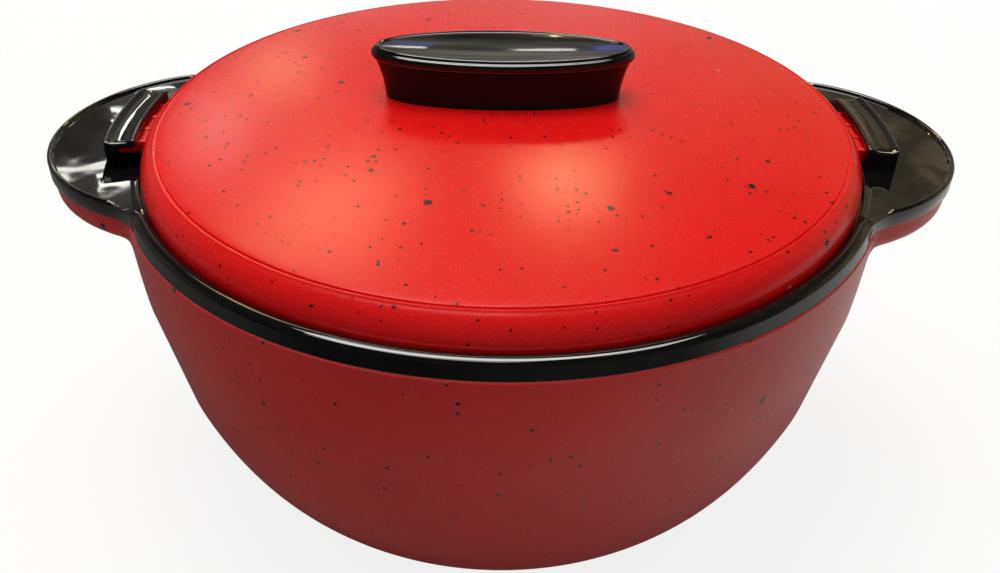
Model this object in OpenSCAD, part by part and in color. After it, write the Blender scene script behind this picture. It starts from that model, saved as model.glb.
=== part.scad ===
// Insulated chapati casserole: a foam-filled bowl with a steel liner, a rim ring with two ear handles,
// and a foam-filled lid that turns to lock its two tabs under the hoods on the ears.
// Origin: centre of the foot, on the surface it stands on. +Z up, the ears lie along X.

/* [Outer bowl] */
// Height from the table to the top edge of the outer bowl
bowl_h = 126; // [100:1:150]
// Outside radius of the outer bowl at its top edge
bowl_r = 131.5; // [128:0.1:150]
// Wall of the outer bowl
bowl_wall = 2.6; // [1.6:0.1:4]
// Outside radius of the foot
foot_r = 62; // [45:1:80]
// Width of the ring that the foot stands on
foot_w = 7; // [3:0.5:15]
// Depth of the recess inside the foot
foot_recess = 2; // [1:0.1:4]
// Fullness of the bowl's side: 2 is round, more is fuller
side_power = 2.3; // [1.8:0.1:3]
// Fullness of the bowl towards its foot
foot_power = 2.2; // [1.8:0.1:3]

/* [Ears] */
// How far an ear reaches past the rim
ear_reach = 30; // [26:0.5:40]
// Radius of an ear's round outline
ear_r = 55.5; // [50:0.5:60]
// Radius of the hollow where an ear runs into the rim
ear_fillet_r = 25; // [20:1:35]
// Height of an ear's bead above the bowl
ear_bead_h = 5.8; // [5:0.1:7]
// Height of an ear's dished top above the bowl
ear_dish_h = 4.4; // [3.6:0.1:4.8]
// Thickness of an ear's hollow part
ear_t = 2.4; // [1.8:0.1:3]
// Width of the edge round that hollow
ear_edge = 3; // [2:0.1:5]
// Depth of the lug under an ear
lug_depth = 9; // [8:0.5:14]
// How far a lug's outline lies inside its ear's
lug_inset = 1; // [0:0.1:2]
// Wall of a lug
lug_wall = 2.2; // [1.6:0.1:3]
// Floor of a lug, which holds the screw heads
lug_floor = 3.2; // [2.8:0.1:4]
// Rounding of a lug's lower edge
lug_round = 4; // [1:0.5:6]

/* [Rim ring] */
// How far the rim's outline lies inside the bowl's edge
rim_step = 1; // [0:0.1:2]
// Width of the rim ring from its outline to its bore
rim_w = 4.9; // [4.6:0.1:8]
// Height of the rim's rounded crest above the bowl
rim_crest_h = 7; // [6:0.1:8.4]
// Thickness of the ledge that carries the steel bowl
ledge_t = 2; // [1.5:0.1:2.4]
// Depth of the skirt that locates the ring in the bowl
skirt_depth = 7; // [4:0.5:10]
// Thickness of that skirt
skirt_t = 2; // [1.4:0.1:3]

/* [Steel bowl] */
// Insulation between the outer wall and the steel bowl
insulation = 19; // [12:0.5:24]
// Steel sheet
steel_t = 0.5; // [0.4:0.05:1]
// Width of the steel bowl's flange
flange_w = 11.5; // [9:0.5:12]

/* [Lid] */
// Running gap between the lid's skirt and the rim ring
lid_gap = 0.6; // [0.3:0.1:1.2]
// Wall of the lid's shell
lid_wall = 2.2; // [1.6:0.1:3]
// Height of the skirt's lower edge above the ledge
lid_skirt_gap = 0.4; // [0.3:0.1:1]
// Height of the skirt's straight part above the bowl
lid_straight_h = 5; // [4.5:0.1:6]
// Height of the rounded shoulder above the straight part
shoulder_h = 10; // [6:0.5:14]
// Width of the rounded shoulder
shoulder_w = 5.7; // [4:0.1:8]
// Rise of the dome above the shoulder
dome_h = 7; // [4:0.5:14]
// Width of the fine groove round the dome
groove_w = 1.2; // [0.8:0.1:2]
// Depth of that groove
groove_d = 0.5; // [0.3:0.1:0.8]
// Depth of the liner's well below the steel bowl's flange
well_depth = 5; // [2:0.5:10]
// Gap round the liner's well inside the steel bowl
well_gap = 2.5; // [1.5:0.1:4]
// Liner sheet
liner_t = 0.6; // [0.5:0.1:1.2]
// Width of the lid's gasket
gasket_w = 5.5; // [4:0.1:6.5]
// Height of the lid's gasket
gasket_h = 2.3; // [2:0.1:3]
// Gap under the gasket
gasket_gap = 0.2; // [0.1:0.05:0.3]

/* [Lock] */
// Turn from locked to free, in degrees
turn = 18; // [17:0.5:20]
// Length of a lid tab
tab_len = 33; // [26:0.5:34]
// How far a tab reaches past the lid's skirt
tab_reach = 9; // [6:0.1:9.5]
// Height of a tab's underside above the bowl
tab_low_h = 5.2; // [4.8:0.1:5.6]
// Thickness of a tab between its ribs
tab_t = 3.3; // [2.4:0.1:3.6]
// Height of the ribs across a tab
rib_h = 0.7; // [0.4:0.1:0.9]
// Width of those ribs
rib_w = 2.2; // [1:0.1:3]
// Number of ribs on a tab
rib_count = 4; // [3:1:6]
// Gap round a tab in its hood
tab_gap = 0.6; // [0.4:0.1:1]
// Gap under a tab
tab_lift = 0.4; // [0.3:0.1:0.8]
// Length of a hood
hood_len = 45; // [42:0.5:48]
// Distance of a hood's inner edge from the ring's bore
hood_back = 1.2; // [0.7:0.1:2.4]
// Thickness of a hood's roof
roof_t = 2.6; // [2:0.1:4]
// Thickness of a hood's outer wall
hood_wall = 2.6; // [1.8:0.1:3.5]
// Length of the pocket's floor past the hood
pocket_reach = 9; // [4:0.5:12]
// Length of the ramp that rises out of the pocket
ramp_len = 9; // [5:0.5:12]

/* [Knob] */
// Half the length of the knob's top
knob_a = 45.4; // [35:0.1:55]
// Half the width of the knob's top
knob_b = 16; // [12:0.1:22]
// Height of the knob's pedestal above the dome
pedestal_h = 13; // [8:0.5:20]
// How far the pedestal's foot is drawn in from the top's outline
waist_in = 4.6; // [3:0.1:8]
// Share of that which its long sides are drawn in
side_share = 0.35; // [0.2:0.05:1]
// Thickness of the knob's top plate
cap_t = 4.5; // [3.5:0.1:7]
// Width of the rounded edge of the top plate
cap_edge = 2.4; // [1.5:0.1:3.5]
// Depth of the dish in the top plate
cap_dish = 1.4; // [0.5:0.1:2]
// Wall of the pedestal
knob_wall = 2.6; // [2:0.1:3.5]

/* [Fasteners] */
// Shank radius of the self-tapping screws
screw_r = 1.75; // [1.5:0.05:2]
// Head radius of the screws
head_r = 3.4; // [3:0.1:4]
// Head height of the screws
head_h = 1.8; // [1.4:0.1:2.4]
// Outside radius of the knob's washers
washer_r = 5; // [4.5:0.1:6]
// Thickness of the washers
washer_t = 1; // [0.6:0.1:1.5]
// Radius of the moulded screw bosses
boss_r = 4.4; // [4:0.1:5]
// Length of thread that a screw has in its boss
bite = 7; // [4:0.5:7]
// Distance of the knob's screws from the middle
knob_screw_x = 24; // [18:0.5:28]
// Distance of an ear's screws from the ear's middle line
ear_screw_y = 22; // [12:0.5:24]
// Radius of the stems of the foam plugs
plug_r = 6; // [4:0.5:8]
// How far a foam plug's head reaches past its stem
plug_lip = 2.5; // [1.5:0.5:4]
// Thickness of a foam plug's head
plug_head = 1.2; // [0.8:0.1:1.6]

/* [Hidden] */
$fn = 96;
red = [0.78, 0.10, 0.09];
gloss_black = [0.06, 0.06, 0.07];
steel = [0.75, 0.76, 0.78];
foam_cream = [0.93, 0.86, 0.66];
seat_gap = 0.2;      // fit between parts of one body
cut = 1;             // how far a cut runs past the face it opens
curve_steps = 30;    // straight steps in the bowl's curve
arc_steps = 8;       // straight steps in a small rounding

// Main radii: the rim's outline, its bore, the lid's skirt and the edge of a tab
rim_r = bowl_r - rim_step;
bore_r = rim_r - rim_w;
lid_r = bore_r - lid_gap;
tab_r = lid_r + tab_reach;
hood_in_r = bore_r + hood_back;

// Ears: centre of the round outline, and centre of the hollow beside it
ear_x = rim_r + ear_reach - ear_r;
hollow_dist = rim_r + ear_fillet_r;
hollow_x = (hollow_dist^2 - (ear_r + ear_fillet_r)^2 + ear_x^2) / (2 * ear_x);
hollow_y = sqrt(hollow_dist^2 - hollow_x^2);
rim_tangent = atan2(hollow_y, hollow_x);            // where the hollow meets the rim
ear_tangent = atan2(hollow_y, hollow_x - ear_x);    // where it meets the ear

// Rounded crests of the rim and of the ears' edges: rise, and width outside and inside the top
crest_rise = 2.8;
crest_out = 2;
crest_in = 2.4;
crest_end = 150;     // angle where the crest's inner side ends
bead_out = 2.2;
bead_w = 5;
rim_straight_h = rim_crest_h - crest_rise;
bead_straight_h = ear_bead_h - crest_rise;
bead_end = 180 - asin((ear_dish_h - bead_straight_h) / crest_rise);

// Rim ring
crest_r = rim_r - crest_out;                        // top of the crest
skirt_r = bowl_r - bowl_wall - seat_gap;
ledge_z = bowl_h + ledge_t;

// Steel bowl
steel_inset = bowl_wall + insulation;
steel_r = bowl_r - steel_inset;
throat_r = steel_r + seat_gap;                      // opening that the steel bowl hangs in
flange_top = ledge_z + steel_t;

// Lid
gasket_z = flange_top + gasket_gap;
liner_z = gasket_z + gasket_h;                      // underside of the liner's flange
well_r = steel_r - steel_t - well_gap;
well_z = flange_top - well_depth;
liner_r = lid_r - lid_wall - seat_gap;
gasket_r = (well_r + steel_r + flange_w - gasket_w) / 2;
skirt_z = ledge_z + lid_skirt_gap;
shoulder_z = bowl_h + lid_straight_h;
shoulder_end = 75;                                  // angle where the rounding meets the dome
dome_edge_r = lid_r - shoulder_w;
dome_edge_z = shoulder_z + shoulder_h;
dome_R = (dome_edge_r^2 + dome_h^2) / (2 * dome_h);
dome_top = dome_edge_z + dome_h;

// Lock, as heights and as angles about the lid's axis on the +X side
tab_low = bowl_h + tab_low_h;
tab_top = tab_low + tab_t;
roof_low = tab_top + rib_h + tab_gap;
roof_top = roof_low + roof_t;
track_floor = tab_low - tab_lift;
tab_half = asin(tab_len / 2 / tab_r);
gap_angle = asin(tab_gap / tab_r);
rib_angle = asin(rib_w / tab_r);
rib_edge = 0.3;                                     // how far the ribs stay inside a tab's edges
edge_angle = asin(rib_edge / tab_r);
rib_pitch = (2 * (tab_half - edge_angle) - rib_angle) / (rib_count - 1);
hood_half = asin(hood_len / 2 / tab_r);
floor_end = hood_half + asin(pocket_reach / tab_r);
track_end = turn + tab_half + gap_angle;
hood_inner_wall = tab_r + tab_gap;
hood_out_r = hood_inner_wall + hood_wall;
hollow_r = hood_out_r + 2 * hood_wall - seat_gap;   // where the hollow under an ear starts

// Ear screws, half way across the hollow under an ear
lug_low = bowl_h - lug_depth;
lug_floor_z = lug_low + lug_floor;
lug_in_r = ear_r - lug_inset - lug_wall;
ear_screw_x = (sqrt(hollow_r^2 - ear_screw_y^2) + ear_x + sqrt(lug_in_r^2 - ear_screw_y^2)) / 2;
ear_seat_z = lug_low + head_h + seat_gap;           // underside of the screw heads' seats

// Knob
cap_z = dome_top + pedestal_h;
cap_overhang = 1.2;                                 // how far the top plate reaches past the pedestal
flare_power = 2.5;                                  // how late the pedestal flares out
cap_low = 1.9;                                      // height of the plate's widest line over its underside
cap_turn = 70;                                      // how far its edge curls under that line, in degrees
dish_share = 0.9;                                   // share of the plate that its dish takes
peg_r = 2;
peg_x = 9;
washer_z = dome_z(knob_screw_x + washer_r) - lid_wall - washer_t - seat_gap;

// Height of the dome over radius r, and a point a wall's thickness t inside the shell's curve
function dome_z(r) = dome_top - dome_R + sqrt(dome_R^2 - r^2);

// Bowl curve, inset by t from the outer surface, from the top edge to the foot
function bowl_curve(t) = [for (i = [0:curve_steps]) let (a = 90 * i / curve_steps)
    [foot_r + (bowl_r - foot_r - t) * pow(cos(a), 2 / side_power),
     bowl_h - (bowl_h - t) * pow(sin(a), 2 / foot_power)]];

// Curve of the lid's shell, inset by t, from the skirt to the top
function lid_curve(t) = concat(
    [for (i = [0:arc_steps]) let (a = shoulder_end * i / arc_steps)
        [lid_r - t - shoulder_w * (1 - cos(a)) / (1 - cos(shoulder_end)),
         shoulder_z + (shoulder_h - t) * sin(a) / sin(shoulder_end)]],
    [for (i = [1:arc_steps]) let (r = (dome_edge_r - t) * (1 - i / arc_steps)) [r, dome_z(r) - t]]);

// Quarter-like arc of an ellipse about c with half-axes a, from angle a0 to a1
function arc(c, a, a0, a1) = [for (i = [0:arc_steps]) let (u = a0 + (a1 - a0) * i / arc_steps)
    [c[0] + a[0] * cos(u), c[1] + a[1] * sin(u)]];

// A shape turned to both ears, half a turn apart
module both_sides() {
    for (side = [0, 180]) rotate([0, 0, side]) children();
}

// A ring-shaped block from angle a0 to a1, radius r0 to r1 and height z0 to z1
module sector(a0, a1, r0, r1, z0, z1) {
    rotate([0, 0, a0]) rotate_extrude(angle = a1 - a0)
        translate([r0, z0]) square([r1 - r0, z1 - z0]);
}

// Flat outline of an ear, drawn in by inset, from z0 to z1
module ear_plate(inset, z0, z1) {
    translate([ear_x, 0, z0]) cylinder(r = ear_r - inset, h = z1 - z0);
    for (s = [-1, 1]) difference() {
        translate([0, 0, z0]) linear_extrude(z1 - z0)
            polygon([[0, 0], [ear_x, 0], [hollow_x, s * hollow_y]]);
        translate([hollow_x, s * hollow_y, z0 - cut])
            cylinder(r = ear_fillet_r + inset, h = z1 - z0 + 2 * cut);
    }
}

// Section of an ear with its bead, as distance in from the outline and height above the bowl
function ear_section(reach) = concat([[0, 0]],
    arc([bead_out, bead_straight_h], [-bead_out, crest_rise], 0, 90),
    arc([bead_out, bead_straight_h], [(bead_w - bead_out) / cos(bead_end), crest_rise], 90, bead_end),
    [[reach, ear_dish_h], [reach, 0]]);

// Top of one ear: its round end, and the two webs whose bead runs into the rim
module ear_top() {
    translate([ear_x, 0, bowl_h]) rotate([0, 0, -ear_tangent])
        rotate_extrude(angle = 2 * ear_tangent)
            polygon([for (p = ear_section(ear_r)) [ear_r - p[0], p[1]]]);
    for (s = [-1, 1]) intersection() {
        translate([0, 0, bowl_h - cut]) linear_extrude(ear_bead_h + 2 * cut)
            polygon([[0, 0], [ear_x, 0], [hollow_x, s * hollow_y]]);
        translate([hollow_x, s * hollow_y, bowl_h]) rotate_extrude()
            polygon([for (p = ear_section(hollow_dist - ear_fillet_r)) [ear_fillet_r + p[0], p[1]]]);
    }
}

// One red lug under an ear, solid, with a rounded lower edge
module lug_solid() {
    r = ear_r - lug_inset;
    h = ear_fillet_r + lug_inset;
    translate([ear_x, 0, 0]) rotate_extrude() polygon(concat(
        [[0, bowl_h], [0, lug_low]],
        arc([r - lug_round, lug_low + lug_round], [lug_round, lug_round], -90, 0), [[r, bowl_h]]));
    for (s = [-1, 1]) intersection() {
        translate([0, 0, lug_low - cut]) linear_extrude(lug_depth + 2 * cut)
            polygon([[0, 0], [ear_x, 0], [hollow_x, s * hollow_y]]);
        translate([hollow_x, s * hollow_y, 0]) rotate_extrude() polygon(concat(
            [[hollow_dist, bowl_h], [h, bowl_h]],
            arc([h + lug_round, lug_low + lug_round], [lug_round, lug_round], 180, 270),
            [[hollow_dist, lug_low]]));
    }
}

// Places of an ear's two screws
module at_ear_screws() {
    for (s = [-1, 1]) translate([ear_screw_x, s * ear_screw_y, 0]) children();
}

// The inner surface of the outer bowl, kept above the recess in the foot
function inside_curve() = [for (p = bowl_curve(bowl_wall)) [p[0], max(p[1], foot_recess + bowl_wall)]];

module outer_bowl() {
    color(red) difference() {
        union() {
            rotate_extrude() polygon(concat([[0, bowl_h]], bowl_curve(0), [[0, 0]]));
            both_sides() lug_solid();
        }
        // room for the foam and the steel bowl
        rotate_extrude() polygon(concat([[0, bowl_h + cut], [bowl_r - bowl_wall, bowl_h + cut]],
            inside_curve(), [[0, foot_recess + bowl_wall]]));
        // recess in the foot, and the hole that the foam goes in by
        translate([0, 0, -cut]) cylinder(r = foot_r - foot_w, h = cut + foot_recess);
        cylinder(r = plug_r + seat_gap, h = bowl_h / 2);
        both_sides() {
            difference() {
                ear_plate(lug_inset + lug_wall, lug_floor_z, bowl_h + cut);
                translate([0, 0, lug_low]) cylinder(r = bowl_r, h = 2 * lug_depth);
            }
            at_ear_screws() {
                translate([0, 0, lug_low - cut]) cylinder(r = screw_r + seat_gap, h = lug_depth);
                translate([0, 0, lug_low - cut])
                    cylinder(r = head_r + seat_gap, h = cut + ear_seat_z - lug_low);
            }
        }
    }
}

module base_plug() {
    color(gloss_black) {
        translate([0, 0, foot_recess - plug_head]) cylinder(r = plug_r + plug_lip, h = plug_head);
        translate([0, 0, foot_recess]) cylinder(r = plug_r, h = 2 * bowl_wall);
    }
}

module bowl_foam() {
    top = bowl_h - skirt_depth - seat_gap;
    color(foam_cream) difference() {
        rotate_extrude() polygon(concat([[0, top]],
            [for (p = inside_curve()) if (p[1] < top) p], [[0, foot_recess + bowl_wall]]));
        rotate_extrude() polygon(concat([[0, bowl_h + cut], [steel_r, bowl_h + cut]],
            bowl_curve(steel_inset), [[0, steel_inset]]));
        cylinder(r = plug_r + seat_gap, h = foot_recess + 2 * bowl_wall + seat_gap);
    }
}

module inner_bowl() {
    color(steel) difference() {
        union() {
            rotate_extrude() polygon(concat([[0, flange_top], [steel_r, flange_top]],
                bowl_curve(steel_inset), [[0, steel_inset]]));
            translate([0, 0, ledge_z]) cylinder(r = steel_r + flange_w, h = steel_t);
        }
        rotate_extrude() polygon(concat([[0, flange_top + cut], [steel_r - steel_t, flange_top + cut]],
            bowl_curve(steel_inset + steel_t), [[0, steel_inset + steel_t]]));
    }
}

// Hood over one tab: roof, outer wall, and the leg that closes its far end
module hood() {
    sector(-hood_half, hood_half, hood_in_r, hood_out_r, roof_low, roof_top);
    sector(-hood_half, hood_half, hood_inner_wall, hood_out_r, bowl_h, roof_top);
    sector(-hood_half, -tab_half - gap_angle, hood_in_r, hood_out_r, bowl_h, roof_top);
}

module lock_cuts() {
    top = bowl_h + rim_crest_h + cut;
    start = -tab_half - gap_angle;
    // under the hood, and on as the pocket's floor, which is wider past the hood's outer wall
    sector(start, floor_end, bore_r - cut, hood_inner_wall, ledge_z, top);
    sector(hood_half, floor_end, hood_inner_wall - cut, hood_out_r, ledge_z, top);
    // the ramp that climbs out of the pocket
    rotate([0, 0, floor_end]) translate([bore_r - cut, -seat_gap, 0]) rotate([90, 0, 90])
        linear_extrude(hood_out_r - bore_r + cut)
            polygon([[0, ledge_z], [ramp_len, top], [0, top]]);
    // the crest sinks beside an ear, and clears a tab that is free of its hood
    sector(-track_end, track_end, bore_r - cut, tab_r + tab_gap, track_floor, top);
}

module rim_ring() {
    crest = [crest_r, bowl_h + rim_straight_h];
    color(gloss_black) {
        difference() {
            union() {
                rotate_extrude() polygon(concat(
                    [[throat_r, bowl_h], [rim_r, bowl_h]],
                    arc(crest, [crest_out, crest_rise], 0, 90),
                    arc(crest, [crest_in, crest_rise], 90, crest_end),
                    [[bore_r, crest[1]], [bore_r, ledge_z], [throat_r, ledge_z]]));
                difference() {
                    both_sides() ear_top();
                    translate([0, 0, bowl_h - cut]) cylinder(r = crest_r, h = rim_crest_h + 2 * cut);
                }
            }
            both_sides() {
                lock_cuts();
                // hollow under the outer part of an ear
                difference() {
                    translate([ear_x, 0, bowl_h - cut])
                        cylinder(r = ear_r - ear_edge, h = cut + ear_dish_h - ear_t);
                    translate([0, 0, bowl_h - 2 * cut])
                        cylinder(r = hollow_r, h = rim_crest_h + 2 * cut);
                }
            }
        }
        // skirt inside the outer bowl
        difference() {
            translate([0, 0, bowl_h - skirt_depth]) cylinder(r = skirt_r, h = skirt_depth + ledge_t / 2);
            translate([0, 0, bowl_h - skirt_depth - cut])
                cylinder(r = skirt_r - skirt_t, h = skirt_depth + ledge_t + 2 * cut);
        }
        both_sides() {
            hood();
            at_ear_screws() difference() {
                translate([0, 0, lug_floor_z])
                    cylinder(r = boss_r, h = bowl_h + ear_dish_h - ear_t / 2 - lug_floor_z);
                translate([0, 0, lug_floor_z - cut]) cylinder(r = screw_r, h = cut + bite);
            }
        }
    }
}

// Screws of one ear, driven up through the lug
module ear_screws() {
    color(steel) at_ear_screws() {
        translate([0, 0, ear_seat_z - head_h]) cylinder(r = head_r, h = head_h);
        translate([0, 0, ear_seat_z - head_h])
            cylinder(r = screw_r, h = head_h + lug_floor_z - ear_seat_z + bite);
    }
}

module left_ear_screws() {
    rotate([0, 0, 180]) ear_screws();
}

module right_ear_screws() {
    ear_screws();
}

// Places of the knob's two screws
module at_knob_screws() {
    for (s = [-1, 1]) translate([s * knob_screw_x, 0, 0]) children();
}

// The lid as a solid, up to the shell's curve inset by t, standing on height z
module lid_solid(t, z) {
    rotate_extrude() polygon(concat([[0, z], [lid_r - t, z]], lid_curve(t)));
}

module lid_shell() {
    color(red) difference() {
        union() {
            lid_solid(0, skirt_z);
            both_sides() {
                sector(-tab_half, tab_half, lid_r - lid_wall / 2, tab_r, tab_low, tab_top);
                for (i = [0:rib_count - 1])
                    rotate([0, 0, edge_angle - tab_half + i * rib_pitch]) sector(0, rib_angle,
                        lid_r - lid_wall / 2, tab_r - rib_edge, tab_low + tab_t / 2, tab_top + rib_h);
            }
        }
        lid_solid(lid_wall, skirt_z - cut);
        rotate_extrude() translate([dome_edge_r - groove_w / 2, dome_z(dome_edge_r) - groove_d])
            square([groove_w, groove_d + cut]);
        at_knob_screws() cylinder(r = screw_r + seat_gap, h = dome_top + cut);
        cylinder(r = plug_r + seat_gap, h = dome_top + cut);
    }
}

module lid_plug() {
    color(gloss_black) {
        translate([0, 0, dome_top]) cylinder(r = plug_r + plug_lip, h = plug_head);
        translate([0, 0, dome_top - 2 * lid_wall]) cylinder(r = plug_r, h = 2 * lid_wall);
    }
}

module lid_foam() {
    color(foam_cream) difference() {
        union() {
            difference() {
                lid_solid(lid_wall, skirt_z);
                cylinder(r = lid_r, h = liner_z + liner_t);
            }
            translate([0, 0, well_z + liner_t])
                cylinder(r = well_r - liner_t, h = liner_z - well_z);
        }
        at_knob_screws() translate([0, 0, washer_z - head_h - seat_gap])
            cylinder(r = washer_r + seat_gap, h = dome_top);
        translate([0, 0, dome_top - 2 * lid_wall - seat_gap]) cylinder(r = plug_r + seat_gap, h = dome_top);
    }
}

module lid_liner() {
    color(steel) difference() {
        union() {
            translate([0, 0, liner_z]) cylinder(r = liner_r, h = liner_t);
            translate([0, 0, well_z]) cylinder(r = well_r, h = liner_z - well_z + liner_t / 2);
        }
        translate([0, 0, well_z + liner_t]) cylinder(r = well_r - liner_t, h = well_depth + gasket_h + cut);
    }
}

module lid_gasket() {
    color([0.85, 0.85, 0.83]) difference() {
        translate([0, 0, gasket_z]) cylinder(r = gasket_r + gasket_w, h = gasket_h);
        translate([0, 0, gasket_z - cut]) cylinder(r = gasket_r, h = gasket_h + 2 * cut);
    }
}

// Solid between oval rings, each given as height, half-length and half-width
module oval_loft(rings) {
    sides = 60;
    points = [for (ring = rings) for (i = [0:sides - 1]) let (a = 360 * i / sides)
        [ring[1] * cos(a), ring[2] * sin(a), ring[0]]];
    walls = [for (k = [0:len(rings) - 2]) for (i = [0:sides - 1]) let (j = (i + 1) % sides)
        each [[k * sides + i, (k + 1) * sides + i, (k + 1) * sides + j],
              [k * sides + i, (k + 1) * sides + j, k * sides + j]]];
    last = (len(rings) - 1) * sides;
    polyhedron(points, concat(walls, [[for (i = [0:sides - 1]) i]],
        [[for (i = [sides - 1:-1:0]) last + i]]));
}

// Waisted outline of the pedestal, drawn in by t, up to height top
function pedestal_rings(t, top) = [for (i = [0:arc_steps])
    let (u = i / arc_steps, flare = waist_in + (cap_overhang - waist_in) * pow(u, flare_power))
    [dome_edge_z + (top - dome_edge_z) * u, knob_a - flare - t, knob_b - flare * side_share - t]];

// Rounded edge and dished face of the knob's top plate
function cap_rings() = concat(
    [for (i = [0:arc_steps]) let (a = (cap_turn + 90) * i / arc_steps - cap_turn, e = cap_edge * (1 - cos(a)))
        [cap_z + cap_low + (a < 0 ? cap_low / sin(cap_turn) : cap_t - cap_low) * sin(a),
         knob_a - e, knob_b - e]],
    [for (i = [1:arc_steps]) let (u = i / arc_steps, e = 1 - dish_share * u)
        [cap_z + cap_t - cap_dish * (1 - cos(180 * u)) / 2,
         (knob_a - cap_edge) * e, (knob_b - cap_edge) * e]]);

module knob_body() {
    color(gloss_black) difference() {
        oval_loft(pedestal_rings(0, cap_z));
        difference() {
            oval_loft(pedestal_rings(knob_wall, cap_z - knob_wall));
            at_knob_screws() cylinder(r = boss_r, h = cap_z);
        }
        lid_solid(0, 0);
        at_knob_screws() cylinder(r = screw_r, h = dome_top + bite);
        for (s = [-1, 1]) translate([s * peg_x, 0, cap_z - knob_wall - cut])
            cylinder(r = peg_r, h = knob_wall + 2 * cut);
    }
}

module knob_cap() {
    color(gloss_black) {
        oval_loft(cap_rings());
        for (s = [-1, 1]) translate([s * peg_x, 0, cap_z - knob_wall])
            cylinder(r = peg_r, h = knob_wall + cap_low);
    }
}

module knob_washers() {
    color(steel) at_knob_screws() difference() {
        translate([0, 0, washer_z]) cylinder(r = washer_r, h = washer_t);
        translate([0, 0, washer_z - cut]) cylinder(r = screw_r, h = washer_t + 2 * cut);
    }
}

module knob_screws() {
    color(steel) at_knob_screws() {
        translate([0, 0, washer_z - head_h]) cylinder(r = head_r, h = head_h);
        translate([0, 0, washer_z - head_h]) cylinder(r = screw_r, h = dome_top + bite - washer_z + head_h);
    }
}

outer_bowl();
base_plug();
bowl_foam();
inner_bowl();
rim_ring();
left_ear_screws();
right_ear_screws();
lid_shell();
lid_plug();
lid_foam();
lid_liner();
lid_gasket();
knob_body();
knob_cap();
knob_screws();
knob_washers();
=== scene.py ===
import math

import bpy
from mathutils import Matrix
from mathutils.kdtree import KDTree


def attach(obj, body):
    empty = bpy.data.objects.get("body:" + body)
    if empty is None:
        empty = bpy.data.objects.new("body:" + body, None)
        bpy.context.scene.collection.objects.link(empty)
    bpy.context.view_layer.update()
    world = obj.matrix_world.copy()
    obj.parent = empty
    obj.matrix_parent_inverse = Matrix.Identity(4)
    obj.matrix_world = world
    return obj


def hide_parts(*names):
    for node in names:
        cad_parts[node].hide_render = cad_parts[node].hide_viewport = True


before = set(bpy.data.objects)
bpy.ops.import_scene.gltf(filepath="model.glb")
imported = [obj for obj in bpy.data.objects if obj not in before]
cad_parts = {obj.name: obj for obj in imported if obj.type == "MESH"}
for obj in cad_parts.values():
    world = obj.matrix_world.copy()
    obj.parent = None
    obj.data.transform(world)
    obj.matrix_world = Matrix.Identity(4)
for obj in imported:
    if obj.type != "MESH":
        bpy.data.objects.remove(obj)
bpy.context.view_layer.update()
mm = 0.001  # every size below is in millimetres
print("frame loaded")

# the camera, as the photograph gives it
photoView = {
    "place": (-2.4, -328.0, 292.8),
    "tilt": 55.22,
    "turn": -0.44,
    "roll": 0.89,
    "lens": 36.0,
    "sensor": 36.0,
}


def addCamera(view):
    data = bpy.data.cameras.new("photoCamera")
    data.lens = view["lens"]
    data.sensor_width = view["sensor"]
    camera = bpy.data.objects.new("photoCamera", data)
    bpy.context.scene.collection.objects.link(camera)
    turn = Matrix.Rotation(math.radians(view["turn"]), 4, "Z")
    tilt = Matrix.Rotation(math.radians(view["tilt"]), 4, "X")
    roll = Matrix.Rotation(math.radians(view["roll"]), 4, "Z")
    place = Matrix.Translation([value * mm for value in view["place"]])
    camera.matrix_world = place @ turn @ tilt @ roll
    bpy.context.scene.camera = camera


addCamera(photoView)
bpy.context.scene.view_settings.view_transform = "Standard"
print("camera placed")


def clearSelection():
    if bpy.context.mode != "OBJECT":
        bpy.ops.object.mode_set(mode="OBJECT")
    bpy.ops.object.select_all(action="DESELECT")


def activate(piece):
    clearSelection()
    piece.select_set(True)
    bpy.context.view_layer.objects.active = piece


def spinOutline(name, outline, startAngle, sweep, steps):
    # a closed outline of (radius, height) points, spun about the casserole's axis
    clearSelection()
    bpy.ops.mesh.primitive_circle_add(vertices=len(outline), fill_type="NOTHING")
    piece = bpy.context.object
    piece.name = name
    start = math.radians(startAngle)
    for vertex, (radius, height) in zip(piece.data.vertices, outline):
        vertex.co = (radius * mm * math.cos(start), radius * mm * math.sin(start), height * mm)
    bpy.ops.object.mode_set(mode="EDIT")
    bpy.ops.mesh.select_all(action="SELECT")
    bpy.ops.mesh.spin(steps=steps, angle=math.radians(sweep), center=(0, 0, 0), axis=(0, 0, -1))
    bpy.ops.mesh.select_all(action="SELECT")
    bpy.ops.mesh.remove_doubles(threshold=1e-7)
    if sweep < 360:
        bpy.ops.mesh.fill_holes(sides=0)
    bpy.ops.mesh.select_all(action="SELECT")
    bpy.ops.mesh.normals_make_consistent(inside=False)
    bpy.ops.object.mode_set(mode="OBJECT")
    return piece


def shapeBySection(piece, outline, section, columns=None):
    # moves every spun point to where section(azimuth) puts that point of the outline;
    # columns, where given, are the new azimuths of the spun columns in their order
    ranks = KDTree(len(outline))
    for i, (radius, height) in enumerate(outline):
        ranks.insert((radius, height, 0), i)
    ranks.balance()
    known = {}
    first = columns[0] if columns else 0.0
    pitch = (columns[-1] - first) / (len(columns) - 1) if columns else 1.0
    for vertex in piece.data.vertices:
        x, y, z = (value / mm for value in vertex.co)
        index = ranks.find((math.hypot(x, y), z, 0))[1]
        azimuth = round(math.degrees(math.atan2(y, x)), 3)
        if columns:
            azimuth = columns[round((azimuth - first) / pitch)]
        if azimuth not in known:
            known[azimuth] = section(azimuth)
        radius, height = known[azimuth][index]
        angle = math.radians(azimuth)
        vertex.co = (radius * mm * math.cos(angle), radius * mm * math.sin(angle), height * mm)


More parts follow.
